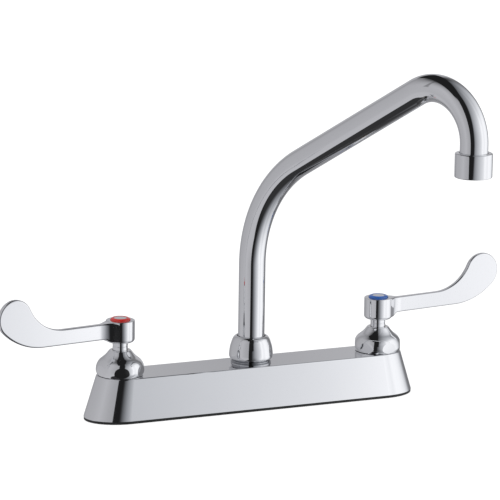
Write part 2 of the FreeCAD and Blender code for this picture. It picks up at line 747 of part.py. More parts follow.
def makeSpoutJoint():
    slot = s.sleeveRadius - s.sleeveRingSection
    outline = [(s.sleeveBore, s.sleeveFoot), (s.sleeveRadius, s.sleeveFoot)]
    for low in (s.sleeveRingLow, s.sleeveRingHigh):
        high = low + s.sleeveRingSlot
        outline += [(s.sleeveRadius, low), (slot, low), (slot, high), (s.sleeveRadius, high)]
    outline += [(s.sleeveRadius, sleeveFlangeFoot), (s.sleeveFlange, sleeveFlangeFoot),
                (s.sleeveFlange, sleeveFlangeTop), (s.tubeRadius + s.fit, sleeveFlangeTop),
                (s.tubeRadius + s.fit, s.tubeSeat), (s.sleeveBore, s.tubeSeat)]
    turnedPart("spout_sleeve", outline)
    rings = newBody("spout_orings")
    drawRings(rings, s.sleeveRadius + s.fit, s.sleeveRingSection + s.fit,
              [s.sleeveRingLow + s.sleeveRingSlot / 2, s.sleeveRingHigh + s.sleeveRingSlot / 2])
    turnedPart("spout_washer", [
        (s.spoutNutMouth, glideFoot), (s.sleeveFlange, glideFoot),
        (s.sleeveFlange, glideTop), (s.spoutNutMouth, glideTop)])
    turnedPart("spout_nut", [
        (spoutBossRadius + s.fit, s.spoutNutFoot), (s.spoutNutFootRadius, s.spoutNutFoot),
        (s.spoutNutWaist, s.spoutNutWaistHeight),
        (s.spoutNutShoulder, s.spoutNutShoulderHeight, s.spoutNutMiddle, s.spoutNutMiddleHeight),
        (s.spoutNutTopRadius, s.spoutNutTop), (s.spoutNutMouth, s.spoutNutTop),
        (s.spoutNutMouth, glideTop), (spoutBossRadius + s.fit, glideTop)])


# Spout tube and outlet

slopeRise = (s.upperCorner - s.lowerCorner) / s.reach
upperBendSet = s.upperBend * (slopeRise + (slopeRise * slopeRise + 1).root())
outletTop = s.upperCorner - upperBendSet - s.straightDrop
outletFoot = outletTop - s.outletHeight
outletSeat = outletFoot + s.outletLip
tubeEnd = outletSeat + s.endPlay + s.screenThick + s.insertHeight + s.washerHeight
outletCollarTop = tubeEnd + s.collarHeight
collarRadius = s.tubeRadius + s.fit + s.collarWall


def drawSpoutPath(sketch):
    # Riser, slope and drop, joined by two tangent bends. Two marks where the straight runs would
    # meet hold the slope.
    reach = s.reach.value
    low = Vector(0, s.lowerCorner.value, 0)
    high = Vector(reach, s.upperCorner.value, 0)
    start = Vector(0, s.tubeSeat.value, 0)
    end = Vector(reach, tubeEnd.value, 0)
    along = (high - low).normalize()
    normal = Vector(0, 0, 1)
    lowTurn = math.pi / 2 - math.atan2(along.y, along.x)
    highTurn = math.pi - lowTurn
    lowSet = s.lowerBend.value * math.tan(lowTurn / 2)
    highSet = s.upperBend.value * math.tan(highTurn / 2)
    lowIn = low - Vector(0, lowSet, 0)
    lowOut = low + along * lowSet
    highIn = high - along * highSet
    highOut = high - Vector(0, highSet, 0)
    lowCentre = lowIn + Vector(s.lowerBend.value, 0, 0)
    highCentre = highOut - Vector(s.upperBend.value, 0, 0)
    riser = sketch.addGeometry(Part.LineSegment(start, lowIn))
    lowArc = sketch.addGeometry(Part.ArcOfCircle(
        Part.Circle(lowCentre, normal, s.lowerBend.value), math.pi - lowTurn, math.pi))
    slope = sketch.addGeometry(Part.LineSegment(lowOut, highIn))
    highArc = sketch.addGeometry(Part.ArcOfCircle(
        Part.Circle(highCentre, normal, s.upperBend.value), 0, highTurn))
    drop = sketch.addGeometry(Part.LineSegment(highOut, end))
    marks = [sketch.addGeometry(Part.Point(point), True) for point in (low, high)]
    fixPoint(sketch, marks[0], 1, zero, s.lowerCorner)
    fixPoint(sketch, marks[1], 1, s.reach, s.upperCorner)
    for mark in marks:
        constrain(sketch, "PointOnObject", mark, 1, slope)
    constrain(sketch, "Tangent", riser, 2, lowArc, 2)
    constrain(sketch, "Tangent", lowArc, 1, slope, 1)
    constrain(sketch, "Tangent", slope, 2, highArc, 2)
    constrain(sketch, "Tangent", highArc, 1, drop, 1)
    fixPoint(sketch, riser, 1, zero, s.tubeSeat)
    constrain(sketch, "Vertical", riser)
    constrain(sketch, "Vertical", drop)
    fixPoint(sketch, drop, 2, s.reach, tubeEnd)
    constrain(sketch, "Radius", lowArc, s.lowerBend)
    constrain(sketch, "Radius", highArc, s.upperBend)


def makeSpoutTube():
    body = newBody("spout_tube", zero, -s.swing)
    path = newSketch(body, "XZ_Plane")
    drawSpoutPath(path)
    section = newSketch(body, "XY_Plane", s.tubeSeat)
    drawCircle(section, zero, zero, s.tubeRadius)
    drawCircle(section, zero, zero, s.tubeRadius - s.tubeWall)
    doc.recompute()
    pipe = body.newObject("PartDesign::AdditivePipe", "bent_tube")
    pipe.Profile = section
    pipe.Spine = (path, ["Edge%d" % (n + 1) for n in range(5)])
    doc.recompute()
    return body


def outletPart(label, corners):
    # a turned piece of the outlet, on the axis of the tube's drop
    body = turnedPart(label, corners)
    angle = math.radians(s.swing.value)
    body.Placement = Placement(Vector(s.reach.value * math.cos(angle), -s.reach.value * math.sin(angle), 0),
                               Rotation(Vector(0, 0, 1), -s.swing.value))
    bind(body, "Placement.Base.x", Size(0, "Sizes.reach * cos(Sizes.swing * 1deg)"))
    bind(body, "Placement.Base.y", Size(0, "-1 * Sizes.reach * sin(Sizes.swing * 1deg)"))
    return body


def makeOutlet():
    screenFoot = outletSeat + s.endPlay
    insertFoot = screenFoot + s.screenThick
    washerFoot = insertFoot + s.insertHeight
    innerRadius = collarRadius + s.fit
    outletPart("outlet_collar", [
        (s.tubeRadius + s.fit, tubeEnd), (collarRadius, tubeEnd),
        (collarRadius, outletCollarTop), (s.tubeRadius + s.fit, outletCollarTop)])
    foot = roundCorner(s.outletRadius, outletFoot, s.outletFootRound, -1, 1)
    outletPart("aerator_housing", [
        (s.outletMouth, outletFoot), foot[0], foot[1] + foot[2],
        (s.outletRadius, outletTop - s.outletChamfer), (s.outletRadius - s.outletChamfer, outletTop),
        (s.tubeRadius + s.looseFit, outletTop), (s.tubeRadius + s.looseFit, outletCollarTop + s.endPlay),
        (innerRadius, outletCollarTop + s.endPlay), (innerRadius, outletSeat), (s.outletMouth, outletSeat)])
    outletPart("aerator_screen", [
        (0, screenFoot), (collarRadius, screenFoot), (collarRadius, insertFoot), (0, insertFoot)])
    insert = outletPart("aerator_insert", [
        (0, insertFoot), (collarRadius, insertFoot), (collarRadius, washerFoot), (0, washerFoot)])
    hole = newSketch(insert, "XY_Plane", washerFoot)
    drawCircle(hole, s.insertHoleRing, zero, s.insertHole)
    first = extrude(insert, hole, s.insertHeight, "PartDesign::Pocket")
    pattern = insert.newObject("PartDesign::PolarPattern", "holes")
    pattern.Originals = [first]
    pattern.Axis = (hole, ["N_Axis"])
    pattern.Angle = 360
    bind(pattern, "Occurrences", s.insertHoles)
    insert.Tip = pattern
    outletPart("aerator_washer", [
        (s.tubeRadius - s.tubeWall, washerFoot), (collarRadius, washerFoot),
        (collarRadius, tubeEnd), (s.tubeRadius - s.tubeWall, tubeEnd)])


makeDeckBody()
makeGasket()
valves = (("hot", -valveX, s.hotClock, s.hotYaw + 180), ("cold", valveX, s.coldClock, s.coldYaw))
for side, x, clock, yaw in valves:
    makeInlet(side, x)
    makeCartridge(side, x)
    makeStem(side, x)
    makeBonnet(side, x, clock)
    makeHandle(side, x, yaw)
makeSpoutJoint()
makeSpoutTube()
makeOutlet()
doc.recompute()

# Every object must be sound before anything is written
broken = [o.Label for o in doc.Objects if "Invalid" in o.State or "Error" in o.State]
broken += [o.Label for o in made if o.Shape.isNull() or not o.Shape.isValid()]
if broken:
    raise SystemExit("not sound: " + ", ".join(broken))

os.makedirs("parts", exist_ok=True)
for item in made:
    item.Shape.exportStep("parts/%s.step" % item.Label)
    print("%-24s %d solid, %.1f mm3" % (item.Label, len(item.Shape.Solids), item.Shape.Volume))
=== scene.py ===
import json
import math

import bmesh
import bpy
from mathutils import Matrix, Vector


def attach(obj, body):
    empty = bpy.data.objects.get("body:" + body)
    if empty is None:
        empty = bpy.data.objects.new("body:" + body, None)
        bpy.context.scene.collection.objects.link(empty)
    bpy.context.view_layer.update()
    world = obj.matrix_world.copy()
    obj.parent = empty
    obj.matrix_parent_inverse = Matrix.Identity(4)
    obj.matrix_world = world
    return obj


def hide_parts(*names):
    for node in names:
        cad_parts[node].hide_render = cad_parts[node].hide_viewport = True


# Deck faucet, dressed for a product picture. Shapes are modelled in millimetres and scaled to metres
# when a piece is finished. The frame is the CAD's: +Z up, +X to the cold valve, -Y to the user.

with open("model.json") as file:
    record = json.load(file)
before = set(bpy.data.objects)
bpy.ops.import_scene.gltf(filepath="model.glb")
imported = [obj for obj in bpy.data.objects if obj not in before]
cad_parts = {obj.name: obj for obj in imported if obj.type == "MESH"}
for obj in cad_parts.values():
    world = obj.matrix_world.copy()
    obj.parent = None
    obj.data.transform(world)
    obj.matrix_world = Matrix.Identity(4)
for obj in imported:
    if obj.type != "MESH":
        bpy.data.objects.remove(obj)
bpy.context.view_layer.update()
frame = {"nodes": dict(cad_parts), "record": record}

mm = 0.001
slotOf = {row["node"]: row["material_slot"] for row in frame["record"]["subparts"]}


# Shader helpers

class Wire:
    # a shader socket that takes part in sums
    def __init__(self, tree, socket):
        self.tree = tree
        self.socket = socket

    def __add__(self, other):
        return self.tree.maths("ADD", self, other)

    def __radd__(self, other):
        return self.tree.maths("ADD", other, self)

    def __sub__(self, other):
        return self.tree.maths("SUBTRACT", self, other)

    def __rsub__(self, other):
        return self.tree.maths("SUBTRACT", other, self)

    def __mul__(self, other):
        return self.tree.maths("MULTIPLY", self, other)

    def __rmul__(self, other):
        return self.tree.maths("MULTIPLY", other, self)

    def __truediv__(self, other):
        return self.tree.maths("DIVIDE", self, other)


class Tree:
    # a material's or the world's nodes, emptied first
    def __init__(self, owner):
        owner.use_nodes = True
        self.nodes = owner.node_tree.nodes
        self.links = owner.node_tree.links
        self.nodes.clear()

    def node(self, kind, settings=None, inputs=None, output=0):
        made = self.nodes.new(kind)
        for name, value in (settings or {}).items():
            if name == "stops":
                ramp = made.color_ramp
                while len(ramp.elements) < len(value):
                    ramp.elements.new(0.5)
                for element, (position, colour) in zip(ramp.elements, value):
                    element.position = position
                for element, (position, colour) in zip(ramp.elements, value):
                    element.color = (*colour, 1)
            else:
                setattr(made, name, value)
        for name, value in (inputs or {}).items():
            if isinstance(value, Wire):
                self.links.new(value.socket, made.inputs[name])
            else:
                made.inputs[name].default_value = value
        return Wire(self, made.outputs[output]) if made.outputs else None

    def maths(self, operation, *values):
        return self.node("ShaderNodeMath", {"operation": operation}, dict(enumerate(values)))

    def place(self, scale=(1, 1, 1), turn=(0, 0, 0)):
        # Object coordinates through a Mapping node
        spot = self.node("ShaderNodeTexCoord", output="Object")
        return self.node("ShaderNodeMapping", {}, {"Vector": spot, "Scale": scale, "Rotation": turn})

    def noise(self, vector, scale, detail, roughness=0.5):
        return self.node("ShaderNodeTexNoise", {}, {"Vector": vector, "Scale": scale, "Detail": detail,
                                                    "Roughness": roughness})

    def between(self, factor, first, second):
        # a mix of two colours
        return self.node("ShaderNodeMix", {"data_type": "RGBA"},
                         {0: factor, 6: (*first, 1) if isinstance(first, tuple) else first,
                          7: (*second, 1) if isinstance(second, tuple) else second}, 2)

    def soften(self, value, start, end):
        # 0 before start, 1 after end, and a soft step between them; start may be the higher one
        return self.node("ShaderNodeMapRange", {"interpolation_type": "SMOOTHSTEP"},
                         {"Value": value, "From Min": start, "From Max": end})

    def graph(self, value, points):
        # a number read off a line through (value, level) points
        low, high = points[0][0], points[-1][0]
        stops = [((place - low) / (high - low), (level,) * 3) for place, level in points]
        return self.node("ShaderNodeValToRGB", {"stops": stops}, {0: (value - low) / (high - low)})

    def bump(self, height, strength, distance):
        return self.node("ShaderNodeBump", {}, {"Height": height, "Strength": strength,
                                                "Distance": distance})

    def surface(self, **inputs):
        named = {name.replace("_", " "): value for name, value in inputs.items()}
        shader = self.node("ShaderNodeBsdfPrincipled", {}, named)
        self.node("ShaderNodeOutputMaterial", {}, {"Surface": shader})


def newMaterial(name):
    material = bpy.data.materials.new(name)
    return material, Tree(material)


# Finishes

chromeLook = {
    "light": (0.87, 0.874, 0.885), "dark": (0.845, 0.85, 0.865), "patch": 38,
    "hazeSpread": 0.03, "wipe": 900, "wipeStretch": 0.06, "wipeHaze": 0.012, "waveStrength": 0.06,
    # painted shade for the collar under the spout nut: its dark colour, and the height over which it fades
    # in
    "shadeColour": (0.36, 0.37, 0.39), "shadeStep": 0.1,
}


def makeChrome(name, haze, ripple, rippleScale, shadeFrom=None):
    # bright plate: faint cloudy tone, wiped haze, and a trace of the metal's own waviness; above a given
    # height the plate is darkened by painted shade, for the shadowed collar under the spout nut
    look = chromeLook
    material, tree = newMaterial(name)
    spot = tree.place()
    cloud = tree.noise(spot, look["patch"], detail=3)
    wipe = tree.noise(tree.place(scale=(1, 1, look["wipeStretch"])), look["wipe"], detail=2, roughness=0.6)
    wave = tree.noise(spot, rippleScale, detail=1)
    colour = tree.between(cloud, look["dark"], look["light"])
    if shadeFrom:
        # painted shade: the colour turns dark above the given height, where the collar sits in shadow under
        # the spout nut
        height = tree.node("ShaderNodeSeparateXYZ", {}, {0: spot}, 2)
        shaded = tree.soften(height, shadeFrom * mm, (shadeFrom + look["shadeStep"]) * mm)
        colour = tree.between(shaded, colour, look["shadeColour"])
    tree.surface(Base_Color=colour, Metallic=1.0,
                 Roughness=haze + cloud * look["hazeSpread"] + wipe * look["wipeHaze"],
                 Normal=tree.bump(wave, look["waveStrength"], ripple * mm))
    return material


machinedLook = {
    "ringStretch": 0.02, "ringHaze": 0.08, "ringStrength": 0.25, "ringDepth": 0.04,
    "tarnish": 120, "tarnishHaze": 0.12,
}


def makeMachined(name, light, dark, rough, ringScale):
    # turned metal: fine tool rings down the axis and a little tarnish
    look = machinedLook
    material, tree = newMaterial(name)
    stretch = look["ringStretch"]
    rings = tree.noise(tree.place(scale=(stretch, stretch, 1)), ringScale, detail=2, roughness=0.7)
    tarnish = tree.noise(tree.place(), look["tarnish"], detail=4, roughness=0.6)
    tree.surface(Base_Color=tree.between(tarnish, dark, light), Metallic=1.0,
                 Roughness=rough + tarnish * look["tarnishHaze"] + rings * look["ringHaze"],
                 Normal=tree.bump(rings, look["ringStrength"], look["ringDepth"] * mm))
    return material


mouldedLook = {
    "patch": 160, "patchHaze": 0.08, "grainHaze": 0.05, "grainStrength": 0.3, "coatRoughness": 0.06,
}


def makeMoulded(name, light, dark, rough, grain, grainDepth, coat=0.0):
    # rubber, plastic and ceramic: fine grain over a slightly uneven colour
    look = mouldedLook
    material, tree = newMaterial(name)
    spot = tree.place()
    cloud = tree.noise(spot, look["patch"], detail=3)
    fine = tree.noise(spot, grain, detail=2, roughness=0.6)
    tree.surface(Base_Color=tree.between(cloud, dark, light),
                 Roughness=rough + cloud * look["patchHaze"] + fine * look["grainHaze"],
                 Coat_Weight=coat, Coat_Roughness=look["coatRoughness"],
                 Normal=tree.bump(fine, look["grainStrength"], grainDepth * mm))
    return material


finishes = {
    # the casting gets painted shade from 31.7 mm up, on the collar under the spout nut
    "chrome_casting": makeChrome("platedCasting", haze=0.035, ripple=0.05, rippleScale=60, shadeFrom=31.7),
    "chrome_turned": makeChrome("platedTurned", haze=0.03, ripple=0.01, rippleScale=90),
    "chrome_handle": makeChrome("platedHandle", haze=0.04, ripple=0.03, rippleScale=70),
    "chrome_tube": makeChrome("platedTube", haze=0.03, ripple=0.02, rippleScale=50),
    "bare_brass": makeMachined("machinedBrass", light=(0.76, 0.57, 0.30), dark=(0.62, 0.44, 0.20),
                               rough=0.24, ringScale=2600),
    "steel": makeMachined("brightSteel", light=(0.64, 0.64, 0.65), dark=(0.52, 0.52, 0.53),
                          rough=0.26, ringScale=2200),
    "black_rubber": makeMoulded("blackRubber", light=(0.022, 0.022, 0.023), dark=(0.012, 0.012, 0.013),
                                rough=0.5, grain=2600, grainDepth=0.04),
    "white_ceramic": makeMoulded("lappedCeramic", light=(0.88, 0.88, 0.86), dark=(0.84, 0.84, 0.82),
                                 rough=0.16, grain=3000, grainDepth=0.005),
    "white_plastic": makeMoulded("whiteAcetal", light=(0.84, 0.84, 0.83), dark=(0.78, 0.78, 0.77),
                                 rough=0.38, grain=2400, grainDepth=0.01),
    "hot_plastic": makeMoulded("redGloss", light=(0.60, 0.028, 0.02), dark=(0.50, 0.016, 0.012),
                               rough=0.14, grain=2000, grainDepth=0.006, coat=0.4),
    "cold_plastic": makeMoulded("blueGloss", light=(0.03, 0.13, 0.46), dark=(0.016, 0.09, 0.36),
                                rough=0.14, grain=2000, grainDepth=0.006, coat=0.4),
}
print("finishes ready:", len(finishes))


# Modelling helpers

weld = 0.0005  # corners nearer than this are one
onPlane = 0.0001  # a corner nearer than this to a cut lies on it


def finishPiece(bm, name, body, node, sharp=28):
    # closes, turns outwards and smooths a modelled piece, and hangs it on its body
    bmesh.ops.remove_doubles(bm, verts=bm.verts, dist=weld)
    bmesh.ops.recalc_face_normals(bm, faces=bm.faces)
    for face in bm.faces:
        face.smooth = True
    for edge in bm.edges:
        if len(edge.link_faces) == 2 and edge.calc_face_angle() > math.radians(sharp):
            edge.smooth = False
    bmesh.ops.scale(bm, vec=(mm, mm, mm), verts=bm.verts)
    mesh = bpy.data.meshes.new(name)
    bm.to_mesh(mesh)
    bm.free()
    piece = bpy.data.objects.new(name, mesh)
    bpy.context.scene.collection.objects.link(piece)
    slot = slotOf[node]
    mesh.materials.append(finishes[slot])
    flats = piece.modifiers.new("flats", "WEIGHTED_NORMAL")  # keeps the broad faces true beside round edges
    flats.keep_sharp = True
    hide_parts(node)
    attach(piece, body)


def join(bm, other):
    # adds another bmesh to this one
    spare = bpy.data.meshes.new("spare")
    other.to_mesh(spare)
    other.free()
    bm.from_mesh(spare)
    bpy.data.meshes.remove(spare)


def roundEdges(bm, edges, offset, segments, clamp=False):
    bmesh.ops.bevel(bm, geom=edges, offset=offset, offset_type="OFFSET", segments=segments, profile=0.5,
                    affect="EDGES", material=-1, clamp_overlap=clamp)


def turnInto(bm, profile, steps, closed=True):
    # spins an outline of (radius, height) corners about the vertical axis
    corners = [bm.verts.new((radius, 0, height)) for radius, height in profile]
    lines = [bm.edges.new(pair) for pair in zip(corners, corners[1:])]
    if closed:
        lines.append(bm.edges.new((corners[-1], corners[0])))
    bmesh.ops.spin(bm, geom=corners + lines, cent=(0, 0, 0), axis=(0, 0, 1), dvec=(0, 0, 0),
                   angle=math.tau, steps=steps, use_merge=True)


def smoothThrough(points, between=5):
    # extra corners on a smooth line through the given ones, by the cubic of each four neighbours
    line = []
    ends = [points[0]] + list(points) + [points[-1]]
    for a, b, c, d in zip(ends, ends[1:], ends[2:], ends[3:]):
        for k in range(between):
            t = k / between
            line.append(tuple(0.5 * (2 * q + (r - p) * t + (2 * p - 5 * q + 4 * r - s) * t * t
                                     + (3 * q - p - 3 * r + s) * t ** 3)
                              for p, q, r, s in zip(a, b, c, d)))
    return line + [points[-1]]


def fillet(corner, radius, before, after, count):
    # corners of a round that replaces a corner of an outline, between its two neighbours
    here = Vector(corner)
    back = (Vector(before) - here).normalized()
    on = (Vector(after) - here).normalized()
    half = back.angle(on) / 2
    middle = here + (back + on).normalized() * (radius / math.sin(half))
    start = here + back * radius / math.tan(half) - middle
    end = here + on * radius / math.tan(half) - middle
    sweep = start.angle_signed(end)
    return [tuple(middle + Matrix.Rotation(-sweep * k / count, 2) @ start) for k in range(count + 1)]


def placeTurned(bm, angle, x=0.0, y=0.0):
    # turns a piece about the vertical axis, and then moves it
    turn = Matrix.Rotation(math.radians(angle), 3, "Z")
    bmesh.ops.rotate(bm, cent=(0, 0, 0), matrix=turn, verts=bm.verts)
    bmesh.ops.translate(bm, vec=(x, y, 0), verts=bm.verts)


def cutFlats(bm, across, crown=0.0):
    # six wrench flats on a turned piece, each raised by its crown in the middle
    for number in range(6):
        angle = math.radians(60 * number + 30)
        out = Vector((math.cos(angle), math.sin(angle), 0))
        cut = bmesh.ops.bisect_plane(bm, geom=bm.verts[:] + bm.edges[:] + bm.faces[:], dist=onPlane,
                                     plane_co=out * across / 2, plane_no=out, clear_outer=True)
        rimEdges = [item for item in cut["geom_cut"] if isinstance(item, bmesh.types.BMEdge)]
        facet = bmesh.ops.edgeloop_fill(bm, edges=rimEdges)["faces"]
        bmesh.ops.recalc_face_normals(bm, faces=bm.faces)
        if crown:
            bmesh.ops.poke(bm, faces=facet, offset=crown)
        for edge in rimEdges:
            edge.smooth = False


valveX = 101.6  # the valves' distance from the spout


# Casting and gasket

casting = {
    "foot": 1.8, "footEnd": 128.1, "footLength": 27.5, "footRadius": 21.1, "heel": 0.5,
    "top": 31.6, "topEnd": 118.7, "topLength": 21.5, "topRadius": 17.1, "rim": 1.0,
    "bossFoot": 30.0, "bossRadius": 13.4, "bossTop": 38.0, "spoutBossRadius": 13.2, "spoutBossTop": 44.0,
    "collar": [(14.6, 31.6), (14.6, 32.5), (14.1, 32.8), (14.1, 33.7), (13.7, 34.0)],
}


def stadiumLoop(bm, height, end, length, radius, steps=144):
    # a ring of corners with straight sides and half-oval ends of the given length
    made = bmesh.ops.create_circle(bm, cap_ends=False, radius=radius, segments=steps,
                                   matrix=Matrix.Rotation(math.pi / steps, 4, "Z"))["verts"]
    for corner in made:
        corner.co.x = math.copysign(end - length, corner.co.x) + corner.co.x * length / radius
        corner.co.z = height
    return list({edge for corner in made for edge in corner.link_edges})


def stackLoops(bm, levels):
    loops = [stadiumLoop(bm, *level) for level in levels]
    for low, high in zip(loops, loops[1:]):
        bmesh.ops.bridge_loops(bm, edges=low + high)
    for end in (loops[0], loops[-1]):
        bmesh.ops.edgeloop_fill(bm, edges=end)
    return loops


def makeCasting():
    look = casting
    bm = bmesh.new()
    loops = stackLoops(bm, [(look["foot"], look["footEnd"], look["footLength"], look["footRadius"]),
                            (look["top"], look["topEnd"], look["topLength"], look["topRadius"])])
    roundEdges(bm, loops[1], look["rim"], 5)
    lowEdges = [edge for edge in bm.edges
                if all(abs(corner.co.z - look["foot"]) < weld for corner in edge.verts)]
    roundEdges(bm, lowEdges, look["heel"], 3)
    low = look["bossFoot"]
    radius, high = look["bossRadius"], look["bossTop"]
    for x in (-valveX, valveX):
        turned = bmesh.new()
        turnInto(turned, [(0, low), (radius, low), (radius, high), (0, high)], 64, False)
        placeTurned(turned, 0, x)
        join(bm, turned)
    collar = look["collar"]
    radius, high = look["spoutBossRadius"], look["spoutBossTop"]
    turned = bmesh.new()
    turnInto(turned, [(0, low), (collar[0][0], low)] + collar + [
        (radius, collar[-1][1]), (radius, high), (0, high)], 96, False)
    join(bm, turned)
    finishPiece(bm, "castBody", "base", "deck_body", sharp=24)


gasket = {"thick": 1.8, "inset": 0.3, "edge": 0.4}


def makeGasket():
    look = gasket
    bm = bmesh.new()
    outline = [casting[name] - look["inset"] for name in ("footEnd", "footLength", "footRadius")]
    loops = stackLoops(bm, [(0.0, *outline), (look["thick"], *outline)])
    roundEdges(bm, loops[0] + loops[1], look["edge"], 3)
    finishPiece(bm, "footGasket", "base", "deck_gasket")


makeCasting()
makeGasket()
print("casting and gasket")


# Inlets under the deck

inlet = {
    "bore": 6.2, "top": 10.9, "foot": -50.0, "crest": 10.5, "root": 9.55, "pitch": 1.814, "threads": 14,
    # one ring of the thread: its radii, and how far down the pitch they come
    "ring": [("crest", 0.25), ("crest", 0.40), ("root", 0.80), ("root", 0.90)],
    "groove": 9.8, "grooveHeight": 1.5,
    "nutTop": -14.0, "nutFoot": -22.0, "nutFlats": 32.0, "nutCorner": 18.4, "nutFace": 16.0,
    "nutChamfer": 1.2, "nutBore": 10.6,
}


def makeInlet(side, x):
    # a shank threaded below the nut, and the six-sided nut that holds it to the deck
    look = inlet
    bm = bmesh.new()
    start = look["nutFoot"] - look["grooveHeight"]
    outline = [(look["bore"], look["top"]), (look["crest"], look["top"]), (look["crest"], look["nutFoot"]),
               (look["groove"], look["nutFoot"]), (look["groove"], start)]
    for number in range(look["threads"]):
        outline += [(look[radius], start - look["pitch"] * (number + share))
                    for radius, share in look["ring"]]
    outline += [(look["root"], look["foot"]), (look["bore"], look["foot"])]
    turnInto(bm, outline, 72)
    placeTurned(bm, 0, x)
    finishPiece(bm, side + "Shank", "base", side + "_inlet_shank")
    bm = bmesh.new()
    turnInto(bm, [(look["nutBore"], look["nutTop"]), (look["nutFace"], look["nutTop"]),
                  (look["nutCorner"], look["nutTop"] - look["nutChamfer"]),
                  (look["nutCorner"], look["nutFoot"] + look["nutChamfer"]),
                  (look["nutFace"], look["nutFoot"]), (look["nutBore"], look["nutFoot"])], 96)
    cutFlats(bm, look["nutFlats"])
    placeTurned(bm, 0, x)
    finishPiece(bm, side + "LockNut", "base", side + "_lock_nut")


makeInlet("hot", -valveX)
makeInlet("cold", valveX)
print("inlets")


# Bonnets

bonnet = {
    "outline": [(16.2, 31.9), (17.1, 34.2), (17.15, 36.2), (16.8, 38.4), (15.95, 40.4), (14.95, 41.9),
                (13.45, 43.3), (11.65, 44.7), (10.15, 46.2), (9.0, 47.6), (8.0, 48.9)],
    "top": 49.4, "lip": 0.5, "bore": 13.45, "neck": 5.75, "lipDepth": 1.2, "throat": 6.75, "ceiling": 40.5,
    "flats": 32.6, "crown": 0.2,
    "hotClock": 42.5, "coldClock": 5.0,
}


def makeBonnet(side, x, clock):
    look = bonnet
    bm = bmesh.new()
    shell = smoothThrough(look["outline"]) + [
        (look["outline"][-1][0] - look["lip"], look["top"]), (look["neck"], look["top"]),
        (look["neck"], look["top"] - look["lipDepth"]), (look["throat"], look["top"] - look["lipDepth"]),
        (look["throat"], look["ceiling"]), (look["bore"], look["ceiling"]),
        (look["bore"], look["outline"][0][1])]
    turnInto(bm, shell, 144)
    cutFlats(bm, look["flats"], look["crown"])
    placeTurned(bm, clock, x)
    finishPiece(bm, side + "Bonnet", "base", side + "_bonnet")


makeBonnet("hot", -valveX, bonnet["hotClock"])
makeBonnet("cold", valveX, bonnet["coldClock"])
print("bonnets")


# Stems

stem = {
    "outline": [
        (0, 26.32), (7.0, 26.32), (7.0, 28.52), (5.4, 28.52), (5.4, 33.0), (4.2, 33.0), (4.2, 34.56),
        (5.4, 34.56), (5.4, 51.9), (5.25, 52.1), (5.25, 52.5), (5.4, 52.7), (5.4, 55.2), (5.3, 55.3),
        (4.4, 55.3), (4.4, 65.7), (2.05, 65.7), (2.05, 55.0), (0, 55.0)],
    "tongueLength": 13.0, "tongueWidth": 3.2, "tongueFoot": 20.4, "tongueOverlap": 0.2,
}


def makeStem(side, x):
    look = stem
    bm = bmesh.new()
    turnInto(bm, look["outline"], 64, False)
    low, high = look["tongueFoot"], look["outline"][0][1] + look["tongueOverlap"]
    tongue = bmesh.ops.create_cube(bm, size=1)["verts"]
    bmesh.ops.scale(bm, vec=(look["tongueLength"], look["tongueWidth"], high - low), verts=tongue)
    bmesh.ops.translate(bm, vec=(0, 0, (high + low) / 2), verts=tongue)
    placeTurned(bm, 0, x)
    finishPiece(bm, side + "Neck", side + "_valve", side + "_stem")


makeStem("hot", -valveX)
makeStem("cold", valveX)
print("stems")


# Handles

handle = {
    "thick": 5.0, "tipThick": 3.5, "edge": 1.2, "armBottom": 58.5, "armTop": 69.7,
    "rise": 1.1, "lineStart": 7.8,
    "head": (88.2, 82.7), "headRadius": 13.4, "headSteps": 56,
    "belly": 47.6, "bellySteps": 26, "nape": 30.2, "napeSteps": 14,
    "hubRadius": 10.3, "hubFoot": 55.3, "hubTop": 71.0, "hubRound": 2.5, "hubRim": 0.6,
    "bore": 4.45, "boreTop": 65.8, "screwHole": 2.6, "webTop": 67.6, "screwWell": 4.7,
    "well": 7.25, "wellFloor": 69.7, "wellLip": 0.15,
    # the root runs in steps from rootEnd into the hub, and is a plain block nearer the axis than block
    "rootEnd": 19.9, "rootFirst": 18.4, "rootStep": 0.72, "rootSteps": 13,
    "rootLast": [8.6, 7.3, 6.05, 4.5], "block": 5.0, "blockWidth": 6.0, "flare": 36.0, "flareFillet": 17.0,
    # it also grows down and up by the last value, which fades between the first two distances
    "droop": (10.0, 14.5, 2.2), "swell": (10.5, 17.0, 0.75),
    "edgeAngle": 50, "hotYaw": 192.0, "coldYaw": 4.0,
}


def armLine(u, height):
    look = handle
    return height + (u - look["lineStart"]) * math.tan(math.radians(look["rise"]))


def touchingCentre(height, radius, target, distance):
    # centre of a circle that touches an arm edge from above and lies at a distance from the head's centre
    slope = math.radians(handle["rise"])
    along = Vector((math.cos(slope), math.sin(slope)))
    start = Vector((handle["lineStart"], height)) + Vector((-math.sin(slope), math.cos(slope))) * radius
    off = target - start
    middle = off.dot(along)
    across = (off - along * middle).length
    return start + along * (middle - math.sqrt(distance ** 2 - across ** 2))


def arcTo(bm, tip, centre, angle, steps):
    # carries one corner of the blade's side view round a centre, as an edge chain
    made = bmesh.ops.spin(bm, geom=[tip], cent=(centre.x, 0, centre.y), axis=(0, 1, 0), dvec=(0, 0, 0),
                          angle=-angle, steps=steps, use_merge=False)
    return [item for item in made["geom_last"] if isinstance(item, bmesh.types.BMVert)][0]


def halfWidth(u):
    # half the arm's thickness, with the root that flares on to the hub
    look = handle
    side = look["thick"] / 2
    lean = math.radians(look["flare"])
    corner = (look["hubRadius"] - side * math.cos(lean)) / math.sin(lean)
    reach = look["flareFillet"] * math.tan(lean / 2)
    if u >= corner + reach:
        return side
    if u <= corner - reach * math.cos(lean):
        return side + (corner - u) * math.tan(lean)
    return side + look["flareFillet"] - math.sqrt(look["flareFillet"] ** 2 - (corner + reach - u) ** 2)


def step(u, low, high, before, after):
    # a straight ramp from one value to another
    t = min(max((u - low) / (high - low), 0.0), 1.0)
    return before + (after - before) * t


def grow(u, low, high, most):
    # falls from the most to nothing between two distances, with soft ends
    t = step(u, low, high, 0.0, 1.0)
    return most - most * t * t * (3 - 2 * t)


